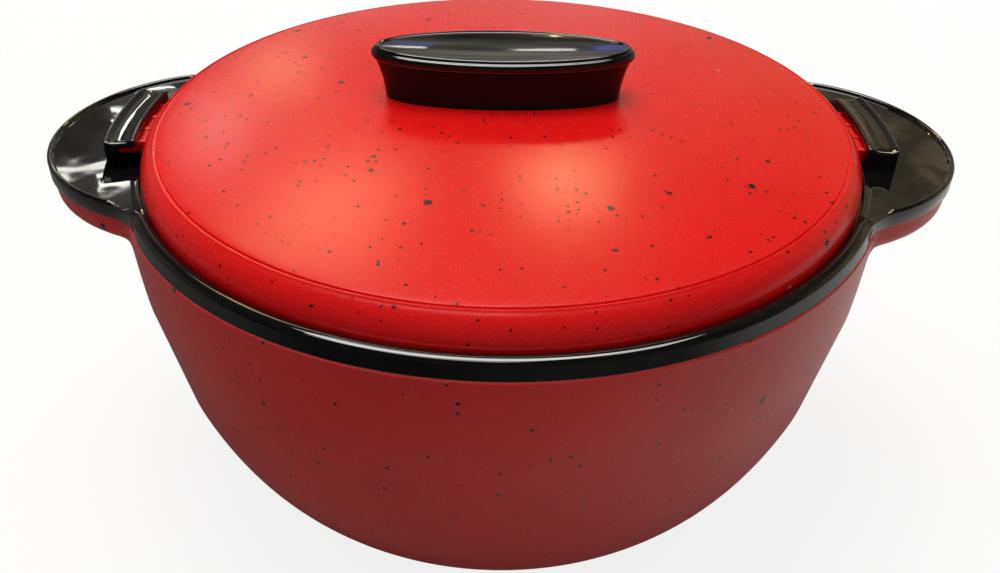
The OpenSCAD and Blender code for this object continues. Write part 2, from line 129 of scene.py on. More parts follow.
def finishWith(piece, kind, **settings):
    activate(piece)
    modifier = piece.modifiers.new(kind, kind)
    for key, value in settings.items():
        setattr(modifier, key, value)
    bpy.ops.object.modifier_apply(modifier=modifier.name)


def rootOnBothSides(piece, part):
    # adds a part whose root is buried in the piece, and the same part half a turn on
    other = part.copy()
    other.data = part.data.copy()
    bpy.context.scene.collection.objects.link(other)
    other.data.transform(Matrix.Rotation(math.pi, 4, "Z"))
    activate(piece)
    part.select_set(True)
    other.select_set(True)
    bpy.ops.object.join()


def smoothByAngle(piece, degrees):
    activate(piece)
    bpy.ops.object.shade_smooth_by_angle(angle=math.radians(degrees))


def dress(piece, material):
    piece.data.materials.clear()
    piece.data.materials.append(material)


def arcPoints(centre, halfWidth, halfHeight, fromAngle, toAngle, steps):
    # points on an ellipse, both ends included
    points = []
    for i in range(steps + 1):
        angle = math.radians(fromAngle + (toAngle - fromAngle) * i / steps)
        points.append((centre[0] + halfWidth * math.cos(angle),
                       centre[1] + halfHeight * math.sin(angle)))
    return points


def ease(low, high, value):
    share = min(1.0, max(0.0, (value - low) / (high - low)))
    return share * share * (3 - 2 * share)


def between(a, b, share):
    return a + (b - a) * share


def mixOutlines(first, second, share):
    return [(between(a[0], b[0], share), between(a[1], b[1], share)) for a, b in zip(first, second)]


def addNode(tree, kind, values=None, **settings):
    node = tree.nodes.new(kind)
    for key, value in settings.items():
        setattr(node, key, value)
    for key, value in (values or {}).items():
        if isinstance(value, bpy.types.NodeSocket):
            tree.links.new(value, node.inputs[key])
        else:
            node.inputs[key].default_value = value
    return node


def math2(tree, operation, first, second):
    return addNode(tree, "ShaderNodeMath", {0: first, 1: second}, operation=operation).outputs[0]


def remap(tree, value, fromLow, fromHigh, toLow, toHigh):
    limits = {"From Min": fromLow, "From Max": fromHigh, "To Min": toLow, "To Max": toHigh}
    return addNode(tree, "ShaderNodeMapRange", {"Value": value, **limits}).outputs["Result"]


def vectorMath(tree, operation, first, second):
    values = {0: first, "Scale" if operation == "SCALE" else 1: second}
    return addNode(tree, "ShaderNodeVectorMath", values, operation=operation).outputs[0]


def noise(tree, coords, scale, detail):
    values = {"Vector": coords, "Scale": scale, "Detail": detail}
    return addNode(tree, "ShaderNodeTexNoise", values).outputs


def cellPattern(tree, coords, cell):
    # a pattern of random cells of about this size
    return addNode(tree, "ShaderNodeTexVoronoi", {"Vector": coords, "Scale": 1.0 / (cell * mm)}).outputs


def channel(tree, colour, index):
    return addNode(tree, "ShaderNodeSeparateColor", {"Color": colour}).outputs[index]


def separate(tree, coords):
    return addNode(tree, "ShaderNodeSeparateXYZ", {0: coords}).outputs


def mixColour(tree, share, first, second):
    node = addNode(tree, "ShaderNodeMix", data_type="RGBA")
    for socket, value in ((0, share), (6, first), (7, second)):
        if isinstance(value, bpy.types.NodeSocket):
            tree.links.new(value, node.inputs[socket])
        else:
            node.inputs[socket].default_value = value
    return node.outputs[2]


def startMaterial(name, roughness, metallic=0.0):
    material = bpy.data.materials.new(name)
    material.use_nodes = True
    tree = material.node_tree
    shader = tree.nodes["Principled BSDF"]
    shader.inputs["Roughness"].default_value = roughness
    shader.inputs["Metallic"].default_value = metallic
    coords = addNode(tree, "ShaderNodeTexCoord").outputs["Object"]
    return material, tree, shader, coords


def addBump(tree, shader, height, distance, strength):
    bump = addNode(tree, "ShaderNodeBump",
                   {"Height": height, "Distance": distance * mm, "Strength": strength})
    tree.links.new(bump.outputs["Normal"], shader.inputs["Normal"])


def speckMask(tree, coords, speck, density):
    # dots: one may sit in each cell of the pattern, and the cell's own random value gives its size
    wobble = noise(tree, coords, speck["wobbleScale"], 2.0)["Color"]
    centred = vectorMath(tree, "SUBTRACT", wobble, (0.5, 0.5, 0.5))
    shift = vectorMath(tree, "SCALE", centred, speck["wobble"] * mm)
    place = vectorMath(tree, "ADD", coords, shift)
    moved = vectorMath(tree, "ADD", place, speck["offset"])
    cells = cellPattern(tree, moved, speck["cell"])
    chance = channel(tree, cells["Color"], 0)
    largest = speck["largest"] / speck["cell"]
    radius = remap(tree, chance, 1.0 - speck["share"] * density, 1.0, 0.0, largest)
    inside = math2(tree, "SUBTRACT", radius, cells["Distance"])
    return remap(tree, inside, 0.0, speck["edge"] / speck["cell"], 0.0, 1.0)


# cell is the room for one speck, and share is how many of the cells hold one
bigSpecks = {"cell": 9.0, "largest": 1.6, "share": 0.3, "edge": 0.18,
             "wobble": 2.4, "wobbleScale": 520.0, "offset": (0.013, 0.004, 0.002)}
smallSpecks = {"cell": 2.8, "largest": 0.72, "share": 0.62, "edge": 0.15,
               "wobble": 0.9, "wobbleScale": 900.0, "offset": (0.031, 0.017, 0.009)}
paleSpecks = {"cell": 15.0, "largest": 1.1, "share": 0.3, "edge": 0.4,
              "wobble": 1.6, "wobbleScale": 700.0, "offset": (0.007, 0.023, 0.011)}
plasticLook = {"black": (0.022, 0.006, 0.006, 1), "pale": (0.95, 0.45, 0.38, 1), "paleShare": 0.55,
               # the pale colour of the bowl's top edge is partly wear and partly a painted highlight
               "wornEdgeHighlight": (0.85, 0.42, 0.38, 1), "wornEdgeHighlightShare": 0.25, "wornEdgeHighlightHeight": 0.2,
               "cloudScale": 14.0, "glintFrom": 0.82, "grainScale": 2600.0, "grainDepth": 0.05,
               "smoother": 0.04, "rougher": 0.06}


def speckledPlastic(name, finish):
    # satin moulded plastic with fine pearl, black flecks and a few pale ones
    look, rough = plasticLook, finish["roughness"]
    material, tree, shader, coords = startMaterial(name, rough)
    cloud = remap(tree, noise(tree, coords, look["cloudScale"], 3.0)["Fac"], 0.35, 0.65, 0.0, 1.0)
    colour = mixColour(tree, cloud, finish["deep"], finish["light"])
    pearl = channel(tree, cellPattern(tree, coords, finish["pearlSize"])["Color"], 1)
    glint = remap(tree, pearl, look["glintFrom"], 1.0, 0.0, finish["pearl"])
    colour = mixColour(tree, glint, colour, finish["pearlColour"])
    pale = speckMask(tree, coords, paleSpecks, finish["density"])
    colour = mixColour(tree, math2(tree, "MULTIPLY", pale, look["paleShare"]), colour, look["pale"])
    big = speckMask(tree, coords, bigSpecks, finish["density"])
    small = speckMask(tree, coords, smallSpecks, finish["density"])
    colour = mixColour(tree, math2(tree, "MAXIMUM", big, small), colour, look["black"])
    # paler above edgeZ: partly wear, partly a painted highlight on the top edge
    low, high = finish["edgeZ"] * mm, (finish["edgeZ"] + look["wornEdgeHighlightHeight"]) * mm
    wornEdgeHighlight = remap(tree, separate(tree, coords)[2], low, high, 0.0, look["wornEdgeHighlightShare"])
    colour = mixColour(tree, wornEdgeHighlight, colour, look["wornEdgeHighlight"])
    tree.links.new(colour, shader.inputs["Base Color"])
    grain = noise(tree, coords, look["grainScale"], 2.0)["Fac"]
    uneven = remap(tree, grain, 0.3, 0.7, rough - look["smoother"], rough + look["rougher"])
    tree.links.new(uneven, shader.inputs["Roughness"])
    shader.inputs["Specular IOR Level"].default_value = finish["shine"]
    addBump(tree, shader, grain, look["grainDepth"], finish["grain"])
    return material


blackLook = {"clean": (0.0042, 0.0040, 0.0042, 1), "dusty": (0.02, 0.019, 0.018, 1),
             "dustScale": 1500.0, "dustFrom": 0.62, "dustFull": 0.8,
             "smearScale": 60.0, "wiped": 0.8, "smeared": 1.4, "waveScale": 70.0}


def glossBlack(name, roughness, wave, shine):
    # polished black moulding: long soft waves in the surface and a little dust
    look = blackLook
    material, tree, shader, coords = startMaterial(name, roughness)
    dust = noise(tree, coords, look["dustScale"], 3.0)["Fac"]
    dust = remap(tree, dust, look["dustFrom"], look["dustFull"], 0.0, 1.0)
    tree.links.new(mixColour(tree, dust, look["clean"], look["dusty"]), shader.inputs["Base Color"])
    smear = noise(tree, coords, look["smearScale"], 4.0)["Fac"]
    smear = remap(tree, smear, 0.35, 0.7, roughness * look["wiped"], roughness * look["smeared"])
    tree.links.new(smear, shader.inputs["Roughness"])
    waves = noise(tree, coords, look["waveScale"], 1.0)["Fac"]
    addBump(tree, shader, waves, 1.0, wave)
    shader.inputs["Specular IOR Level"].default_value = shine
    return material


steelLook = {"deep": (0.56, 0.56, 0.57, 1), "light": (0.76, 0.76, 0.77, 1), "lineScale": 3500.0,
             "rougher": 0.14, "lineDepth": 0.02}


def brushedSteel(name, roughness):
    # pressed steel sheet, brushed round its axis
    look = steelLook
    material, tree, shader, coords = startMaterial(name, roughness, metallic=1.0)
    x, y, z = separate(tree, coords)
    squares = math2(tree, "ADD", math2(tree, "MULTIPLY", x, x), math2(tree, "MULTIPLY", y, y))
    radius = math2(tree, "SQRT", squares, 0.0)
    turned = addNode(tree, "ShaderNodeCombineXYZ", {0: radius, 1: z}).outputs[0]
    lines = noise(tree, turned, look["lineScale"], 2.0)["Fac"]
    tree.links.new(mixColour(tree, lines, look["deep"], look["light"]), shader.inputs["Base Color"])
    uneven = remap(tree, lines, 0.3, 0.7, roughness, roughness + look["rougher"])
    tree.links.new(uneven, shader.inputs["Roughness"])
    addBump(tree, shader, lines, look["lineDepth"], 0.3)
    return material


def mottled(name, finish):
    # plain stuff with a grain: foam and silicone
    material, tree, shader, coords = startMaterial(name, finish["roughness"])
    grain = noise(tree, coords, finish["scale"], 4.0)["Fac"]
    share = remap(tree, grain, 0.3, 0.7, 0.0, 1.0)
    colour = mixColour(tree, share, finish["deep"], finish["light"])
    tree.links.new(colour, shader.inputs["Base Color"])
    addBump(tree, shader, grain, finish["bumpDepth"], 0.6)
    return material


# above edgeZ the plastic turns paler: partly wear on the bowl's top edge, partly a painted highlight
# where that edge catches the light; the lid stays below it
lidFinish = {"roughness": 0.24, "deep": (0.71, 0.003, 0.003, 1), "light": (0.77, 0.005, 0.005, 1),
             "pearlSize": 0.45, "pearl": 0.25, "pearlColour": (0.92, 0.06, 0.045, 1), "grain": 0.2,
             "density": 1.0, "edgeZ": 1000.0, "shine": 0.34}
# the bowl's reds are darker than the lid's, though it is the same plastic: painted shade for the bowl's
# sides, which get less light from above
bowlShadedFinish = {"roughness": 0.30, "deep": (0.50, 0.006, 0.008, 1), "light": (0.57, 0.009, 0.010, 1),
              "pearlSize": 0.45, "pearl": 0.2, "pearlColour": (0.75, 0.09, 0.08, 1), "grain": 0.2,
              "density": 0.7, "edgeZ": 125.75, "shine": 0.5}
redLid = speckledPlastic("redLid", lidFinish)
redBowlShaded = speckledPlastic("redBowlShaded", bowlShadedFinish)
foam = {"deep": (0.70, 0.56, 0.28, 1), "light": (0.86, 0.76, 0.48, 1), "scale": 900.0,
        "roughness": 0.9, "bumpDepth": 0.3}
silicone = {"deep": (0.72, 0.72, 0.69, 1), "light": (0.80, 0.80, 0.77, 1), "scale": 400.0,
            "roughness": 0.45, "bumpDepth": 0.03}
blackRing = glossBlack("blackRing", roughness=0.03, wave=0.10, shine=0.55)
blackKnobTop = glossBlack("blackKnobTop", roughness=0.06, wave=0.11, shine=0.55)
blackPlain = glossBlack("blackPlain", roughness=0.13, wave=0.05, shine=0.2)
steelSheet = brushedSteel("steelSheet", roughness=0.22)
screwSteel = brushedSteel("screwSteel", roughness=0.28)
foamCream = mottled("foamCream", foam)
paleSilicone = mottled("paleSilicone", silicone)
print("materials made")

# the outline of an ear, shared by the rim ring and the lugs under it
ear = {
    "rimRadius": 130.5,
    "reach": 30.0,
    "radius": 55.5,
    "filletRadius": 25.0,
}
ear["middle"] = ear["rimRadius"] + ear["reach"] - ear["radius"]
ear["filletDistance"] = ear["rimRadius"] + ear["filletRadius"]
ear["filletX"] = ((ear["filletDistance"] ** 2 - (ear["radius"] + ear["filletRadius"]) ** 2
                   + ear["middle"] ** 2) / (2 * ear["middle"]))
ear["filletY"] = math.sqrt(ear["filletDistance"] ** 2 - ear["filletX"] ** 2)
ear["rimTangent"] = math.degrees(math.atan2(ear["filletY"], ear["filletX"]))
ear["ownTangent"] = math.degrees(math.atan2(ear["filletY"], ear["filletX"] - ear["middle"]))


def fromEar(azimuth):
    # angle from the middle line of the nearer ear
    return (azimuth + 90) % 180 - 90


def outlineRadius(side, inset):
    # from the axis to the ring's outline, drawn in by inset; side is the angle from the ear's middle
    if side >= ear["rimTangent"]:
        return ear["rimRadius"] - inset
    angle = math.radians(side)
    own = math.radians(ear["ownTangent"])
    reach = ear["radius"] - inset
    meet = math.degrees(math.atan2(reach * math.sin(own), ear["middle"] + reach * math.cos(own)))
    if side <= meet:
        along = ear["middle"] * math.cos(angle)
        across = ear["middle"] * math.sin(angle)
        return along + math.sqrt(reach ** 2 - across ** 2)
    along = ear["filletX"] * math.cos(angle) + ear["filletY"] * math.sin(angle)
    bend = ear["filletRadius"] + inset
    return along - math.sqrt(max(0.0, along ** 2 - ear["filletDistance"] ** 2 + bend ** 2))


# the outer bowl with its two lugs
bowl = {
    "height": 126.0,
    "radius": 131.5,
    "wall": 2.6,
    "footRadius": 62.0,
    "footWidth": 7.0,
    "footOutside": ((-0.3, 0.12), (-1.0, 0.0)),  # radius past the foot's edge, height
    "footInside": ((0.8, 0.0), (0.2, 0.3)),
    "footRecess": 2.0,
    "recessRound": 0.5,
    "underRing": 36.0,
    "plugHole": 6.2,
    "floorRing": 40.0,
    "sidePower": 2.3,  # how full the side is, where 2 is an ellipse
    "footPower": 2.2,
    "bellySteps": 29,
    "bellyAngles": (28.0, 88.0),  # where on its curve the side's lower half begins and ends
    "innerSteps": 11,
    "innerPower": 1.6,
    "innerLift": 0.01,
    "edgeRound": 0.5,
    "lugLow": 117.0,
    "lugSide": (124.0, 122.5),  # heights
    "lugInset": 1.0,
    "lugRound": 4.0,
    "lugBlend": 1.6,
    "lugBlendDepth": 3,
    "lugRoot": 126.0,
    "lugSag": 0.02,
    "lugFades": (-1.0, 2.0),  # past the bowl's radius
    "underLug": (115.5, 113, 110, 106, 102, 97),  # heights
    "smooth": 32,
    "steps": 480,
}


def bowlRadius(height, inset):
    rise = (bowl["height"] - height) / (bowl["height"] - inset)
    across = math.sqrt(max(0.0, 1 - min(1.0, max(0.0, rise)) ** bowl["footPower"]))
    spread = bowl["radius"] - bowl["footRadius"] - inset
    return bowl["footRadius"] + spread * across ** (2 / bowl["sidePower"])


def bowlSection(azimuth):
    # down the outside, over the lug where there is one, under the foot and up the inside
    side = abs(fromEar(azimuth))
    lug = outlineRadius(side, bowl["lugInset"]) if side < ear["rimTangent"] else 0.0
    low, top, bend = bowl["lugLow"], bowl["height"], bowl["lugRound"]

    def widest(radius, height):
        # the lug's surface where it stands out from the bowl, run together over lugBlend
        plain = bowlRadius(height, 0.0)
        blend = bowl["lugBlend"] * ease(top, top - bowl["lugBlendDepth"], height)
        apart = math.hypot(radius - plain, blend)
        return ((radius + plain + apart) / 2, height)

    edge = bowl["edgeRound"]
    lugPart = [widest(lug - edge, top)]
    lugPart += [widest(lug, height) for height in (top - edge, *bowl["lugSide"], low + bend)]
    for angle in range(15, 91, 15):
        turn = math.radians(angle)
        lugPart.append(widest(lug - bend + bend * math.cos(turn), low + bend - bend * math.sin(turn)))
    for share in (0.2, 0.4, 0.6, 0.8, 1.0):
        lugPart.append(widest(between(lug - bend, bowl["lugRoot"], share), low - bowl["lugSag"] * share))
    lugPart += [(bowlRadius(height, 0.0), height) for height in bowl["underLug"]]
    last = len(lugPart) - 1
    plainPart = [(bowlRadius(top, 0.0) - edge, top)]
    for i in range(last):
        height = between(top - edge, lugPart[last][1], i / (last - 1))
        plainPart.append((bowlRadius(height, 0.0), height))
    merge = ease(bowl["radius"] + bowl["lugFades"][0], bowl["radius"] + bowl["lugFades"][1], lug)
    points = mixOutlines(plainPart, lugPart, merge)
    for i in range(1, bowl["bellySteps"] + 1):
        angle = math.radians(between(*bowl["bellyAngles"], i / bowl["bellySteps"]))
        height = bowl["height"] * (1 - math.sin(angle) ** (2 / bowl["footPower"]))
        points.append((bowlRadius(height, 0.0), height))
    foot, inner = bowl["footRadius"], bowl["footRadius"] - bowl["footWidth"]
    points += [(foot + past, height) for past, height in bowl["footOutside"]]
    points += [(inner + past, height) for past, height in bowl["footInside"]]
    recess, hole = bowl["footRecess"], bowl["plugHole"]
    points += [(inner, recess - bowl["recessRound"]), (inner - bowl["recessRound"], recess)]
    points += [(bowl["underRing"], recess), (hole, recess)]
    floor = recess + bowl["wall"]
    points += [(hole, floor), (bowl["floorRing"], floor)]
    for i in range(bowl["innerSteps"] + 1):
        height = between(floor, top - 1.0, (i / bowl["innerSteps"]) ** bowl["innerPower"])
        points.append((bowlRadius(max(height, floor), bowl["wall"]), height + bowl["innerLift"]))
    points.append((bowl["radius"] - bowl["wall"], top))
    return points


def makeOuterBowl():
    start = bowlSection(0.0)
    piece = spinOutline("outerBowl", start, 0.0, 360.0, bowl["steps"])
    shapeBySection(piece, start, bowlSection)
    smoothByAngle(piece, bowl["smooth"])
    dress(piece, redBowlShaded)
    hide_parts("outer_bowl")
    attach(piece, "base")


makeOuterBowl()
print("outer bowl made")

# the rim ring: its crest and the two ears
ring = {
    "rimRadius": ear["rimRadius"],
    "bore": 125.6,
    "throat": 110.1,
    "ledge": 128.0,
    "under": 126.0,
    "skirtOuter": 128.7,
    "skirtInner": 126.7,
    "skirtLow": 119.0,
    "lipTop": 130.9,
    "lipRound": 0.6,
    "lipWidth": 1.4,
    "lipEdge": (2.0, 0.12),  # out from the bore, down from the lip
    "lipFoot": 2.8,
    "dish": 130.6,
    "dishPoints": 9,
    "dishFrom": 3.0,
    "dishLeast": 3.6,
    "dishEnd": 0.2,
    "rimStraight": 130.1,  # where the rim's crest begins to round
    "rise": 1.9,
    "rimOut": 2.6,
    "rimIn": 2.4,
    "slopeInset": 2.08,
    "slopeFoot": 129.6,
    "slopeBend": 130.6,
    "beadStraight": 130.8,  # the same lengths for the bead round an ear
    "beadRise": 1.0,
    "beadOut": 1.0,
    "beadWide": 0.95,
    "beadFoot": 2.1,
    "beadAngles": (150, 138, 126, 114, 102, 90, 75, 60, 45, 30, 15, 0),
    "beadStep": 0.02,
    "mergeFrom": 25.0,  # degrees from the ear's middle, as are the next four
    "beadMergeFrom": 21.0,
    "trackEnd": 25.3,
    "pocketStart": -7.3,
    "pocketEnd": 10.2,
    "trackRadius": 134.6,
    "trackTop": 130.9,
    "trackWall": 3,
    "trackRamp": 2.0,  # rise for each degree
    "pocketFloor": 128.2,
    "pocketRadius": 137.2,
    "pocketRoom": 2.5,
    "pocketGaps": (0.3, 1.2),
    "rampRise": 0.46,  # for each degree
    "wallFlare": 0.65,
    "wallFlareTop": 0.2,
    "wallFlareEnd": 3,
    "wallDrop": 0.8,
    "underEdge": (0.3, 0.4),
    "underInset": 3.0,
    "underLeast": 129.4,
    "underStep": 0.2,
    "smooth": 34,
    "steps": 720,
}


def ringTop(side, signed):
    # the section from the bore's foot to the bead: over the ear's dish, or up the rim's inner slope
    bore, lip, bend, dish = ring["bore"], ring["lipTop"], ring["lipRound"], ring["dish"]
    earPart = [(bore, ring["ledge"]), (bore, lip - bend)]
    earPart += arcPoints((bore + bend, lip - bend), bend, bend, 157.5, 90, 3)
    edgeOut, edgeDrop = ring["lipEdge"]
    earPart += [(bore + ring["lipWidth"], lip), (bore + edgeOut, lip - edgeDrop)]
    earPart.append((bore + ring["lipFoot"], dish))
    inner = max(outlineRadius(side, ring["beadFoot"]), bore + ring["dishLeast"])
    first, last = bore + ring["dishFrom"], inner - ring["dishEnd"]
    wall = ring["pocketRadius"]
    if inner > wall + ring["pocketRoom"]:
        # points stand close on both sides of the pocket's wall
        near, far = ring["pocketGaps"]
        radii = [between(first, wall - near, share) for share in (0.0, 0.1, 0.5, 0.9, 1.0)]
        radii += [wall + near, wall + far, inner - far, last]
    else:
        steps = ring["dishPoints"] - 1
        radii = [between(first, last, i / steps) for i in range(steps + 1)]
    earPart += [(radius, dish) for radius in radii]
    # the rim's inner slope is a curve that three points steer
    steps = len(earPart) - 1
    foot, bend = ring["slopeFoot"], ring["slopeBend"]
    endRadius = ring["rimRadius"] - ring["rimOut"] - ring["slopeInset"]
    endHeight = ring["rimStraight"] + ring["rise"] / 2
    rimPart = [(bore, ring["ledge"])]
    for i in range(steps):
        share = i / steps
        keep = 1 - share
        radius = bore * keep * keep + 2 * bore * keep * share + endRadius * share * share
        height = foot * keep * keep + 2 * bend * keep * share + endHeight * share * share
        rimPart.append((radius, height))
    merge = ease(ring["mergeFrom"], ear["rimTangent"], side)
    points = mixOutlines(earPart, rimPart, merge)
    lowered = [points[0]]
    for radius, height in points[1:]:
        if ring["pocketStart"] < signed and radius < wall:
            climb = max(0.0, signed - ring["pocketEnd"]) * ring["rampRise"]
            height = min(height, ring["pocketFloor"] + climb)
        lowered.append((radius, height))
    return lowered


def ringBead(side):
    # the bead round an ear grows into the rim's crest
    merge = ease(ring["beadMergeFrom"], ear["rimTangent"], side)
    out = between(ring["beadOut"], ring["rimOut"], merge)
    wide = between(ring["beadWide"], ring["rimIn"], merge)
    straight = between(ring["beadStraight"], ring["rimStraight"], merge)
    rise = between(ring["beadRise"], ring["rise"], merge)
    points = []
    for angle in ring["beadAngles"]:
        turn = math.radians(angle)
        inset = out - (wide if angle > 90 else out) * math.cos(turn)
        points.append((outlineRadius(side, inset), straight + rise * math.sin(turn)))
    return points, straight


def ringSection(azimuth):
    # over the top, down the outer wall and round the skirt that hangs inside the bowl
    signed = fromEar(azimuth)
    side = abs(signed)
    top = ringTop(side, signed)
    bead, straight = ringBead(side)
    last = top[-1][0]
    raised = []
    for radius, height in bead:
        # the bead sinks where a freed tab passes over it
        cap = ring["trackTop"] + ring["trackWall"] * max(0.0, radius - ring["trackRadius"])
        cap += ring["trackRamp"] * max(0.0, side - ring["trackEnd"])
        last = max(radius, last + ring["beadStep"])
        raised.append((last, min(height, cap)))
    edge, under = outlineRadius(side, 0.0), ring["under"]
    flare = ring["wallFlare"] * ease(ring["mergeFrom"], ear["rimTangent"] + ring["wallFlareEnd"], side)
    cutIn, cutUp = ring["underEdge"]
    outer, inner, low = ring["skirtOuter"], ring["skirtInner"], ring["skirtLow"]
    points = top + raised
    points.append((edge + flare * ring["wallFlareTop"], straight - ring["wallDrop"]))
    points += [(edge + flare, under + cutUp), (edge + flare - cutIn, under)]
    points.append((max(edge - ring["underInset"], ring["underLeast"]), under))
    points += [(outer, under - ring["underStep"]), (outer, low), (inner, low), (inner, under)]
    points += [(ring["throat"], under), (ring["throat"], ring["ledge"])]
    return points


# a hood: roof, outer wall and the leg that stops the lid's tab
hood = {
    "half": 9.67,  # degrees
    "legTo": -7.34,
    "inner": 126.8,
    "wallInner": 134.6,
    "outer": 137.2,
    "roofLow": 135.8,
    "top": 138.4,
    "foot": 127.4,
    "dip": 0.8,
    "dipPower": 0.4,
    "flatInset": 0.5,
    "edgeRound": 0.5,
    "endRound": 1.1,
    "endAngles": (0, 18, 36, 54, 72, 90),
    "chamfer": 0.1,
    "footFlare": ((0.0, 131.2), (0.15, 130.6), (0.5, 130.2)),  # out from the wall, height
    "step": 0.15,  # degrees, from the leg to the open room
    "steps": 26,
}


def hoodTop():
    # from the roof's inner edge to its outer edge: rounded edges with a shallow dish between them
    bend = hood["edgeRound"]
    points = arcPoints((hood["inner"] + bend, hood["top"] - bend), bend, bend, 180, 90, 3)
    flat = hood["flatInset"]
    first, last = hood["inner"] + bend + flat, hood["outer"] - bend - flat
    for i in range(9):
        share = i / 8
        sag = hood["dip"] * math.sin(math.pi * share) ** hood["dipPower"]
        points.append((between(first, last, share), hood["top"] - sag))
    points += arcPoints((hood["outer"] - bend, hood["top"] - bend), bend, bend, 90, 0, 3)
    return points


def hoodSection(azimuth):
    # roof and outer wall; up to legTo the leg fills the room under the roof, and both ends are rounded
    low, roof, bend, cut = hood["foot"], hood["roofLow"], hood["endRound"], hood["chamfer"]
    toEnd = math.radians(hood["half"] - abs(azimuth)) * hood["outer"]
    inset = bend - math.sqrt(bend ** 2 - min(bend, max(0.0, bend - toEnd)) ** 2)
    inner, outer = hood["inner"] + inset, hood["outer"] - inset
    wall = hood["wallInner"]
    middle, half = (inner + outer) / 2, (hood["outer"] - hood["inner"]) / 2
    points = []
    for radius, height in hoodTop():
        points.append((middle + (radius - middle) * (half - inset) / half, height - inset))
    points += [(outer + out, height) for out, height in hood["footFlare"]]
    points += [(points[-1][0], low), (wall, low)]
    if azimuth <= hood["legTo"]:
        return points + [(wall - cut, low), (inner + cut, low), (inner, low + cut)]
    return points + [(wall, roof - cut), (wall - cut, roof), (inner, roof)]


def makeHood():
    # closer columns where the ends are rounded
    ends = [math.degrees(hood["endRound"] / hood["outer"] * (1 - math.cos(math.radians(angle))))
            for angle in hood["endAngles"]]
    columns = [-hood["half"] + end for end in ends] + [hood["legTo"]]
    first, last = hood["legTo"] + hood["step"], hood["half"] - ends[-1]
    columns += [between(first, last, i / hood["steps"]) for i in range(hood["steps"] + 1)]
    columns += [hood["half"] - end for end in reversed(ends[:-1])]
    start = hoodSection(hood["half"])
    piece = spinOutline("hood", start, columns[0], columns[-1] - columns[0], len(columns) - 1)
    shapeBySection(piece, start, hoodSection, columns)
    return piece


def makeRimRing():
    start = ringSection(90.0)
    piece = spinOutline("rimRing", start, 90.0, 360.0, ring["steps"])
    shapeBySection(piece, start, ringSection)
    rootOnBothSides(piece, makeHood())
    smoothByAngle(piece, ring["smooth"])
    dress(piece, blackRing)
    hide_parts("rim_ring")
    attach(piece, "base")


makeRimRing()
print("rim ring made")

# the lid shell: skirt, shoulder, groove and dome
lid = {
    "radius": 125.0,
    "wall": 2.2,
    "skirtLow": 128.4,
    "skirtRound": 0.5,
    "skirtCut": 0.3,
    "straightTop": 131.0,
    "shoulderHeight": 10.0,
    "shoulderWidth": 5.7,
    "shoulderEnd": 75.0,
    "shoulderSteps": 18,
    "domeRise": 7.0,
    "domeStart": 2.0,
    "domeSteps": 25,
    "grooveWidth": 1.3,
    "grooveDepth": 0.7,
    "grooveClear": 0.3,
    "grooveSlope": 0.06,
    "plugHole": 6.2,
    "smooth": 32,
    "steps": 480,
}
lid["domeEdge"] = lid["radius"] - lid["shoulderWidth"]
lid["domeEdgeZ"] = lid["straightTop"] + lid["shoulderHeight"]
lid["domeTop"] = lid["domeEdgeZ"] + lid["domeRise"]
lid["domeRadius"] = (lid["domeEdge"] ** 2 + lid["domeRise"] ** 2) / (2 * lid["domeRise"])


def domeHeight(radius):
    return lid["domeTop"] - lid["domeRadius"] + math.sqrt(lid["domeRadius"] ** 2 - radius ** 2)


def lidSurface(inset, grooved):
    # from the skirt over the shoulder to the hole under the knob
    end, steps = math.radians(lid["shoulderEnd"]), lid["shoulderSteps"]
    points = []
    for i in range(steps):
        angle = end * i / steps
        drawnIn = lid["shoulderWidth"] * (1 - math.cos(angle)) / (1 - math.cos(end))
        risen = (lid["shoulderHeight"] - inset) * math.sin(angle) / math.sin(end)
        points.append((lid["radius"] - inset - drawnIn, lid["straightTop"] + risen))
    if grooved:
        edge, half, deep = lid["domeEdge"], lid["grooveWidth"] / 2, lid["grooveDepth"]
        points = [point for point in points if point[0] > edge + half + lid["grooveClear"]]
        # from the groove's outer edge to its inner edge
        for offset, depth in ((half + 0.15, 0.15), (half, 0.25), (half - 0.2, deep), (0.25 - half, deep),
                              (0.1 - half, 0.25), (-half, 0.06), (-half - 0.35, 0.0)):
            points.append((edge + offset, domeHeight(edge) - offset * lid["grooveSlope"] - depth))
    first, steps = points[-1][0] - lid["domeStart"], lid["domeSteps"]
    for i in range(steps + 1):
        radius = between(first, lid["plugHole"], i / steps)
        points.append((radius, domeHeight(radius) - inset))
    return points


# a locking tab with its ribs
tab = {
    "half": 7.07,  # degrees
    "inner": 123.9,
    "outer": 134.0,
    "low": 131.2,
    "top": 134.5,
    "rib": 0.7,
    "ribCount": 4,
    "ribSteps": 3,
    "panelSteps": 11,
    "bevel": 0.35,
    "bevelAngle": 50,
    "weld": 0.002,  # points closer than this become one
}


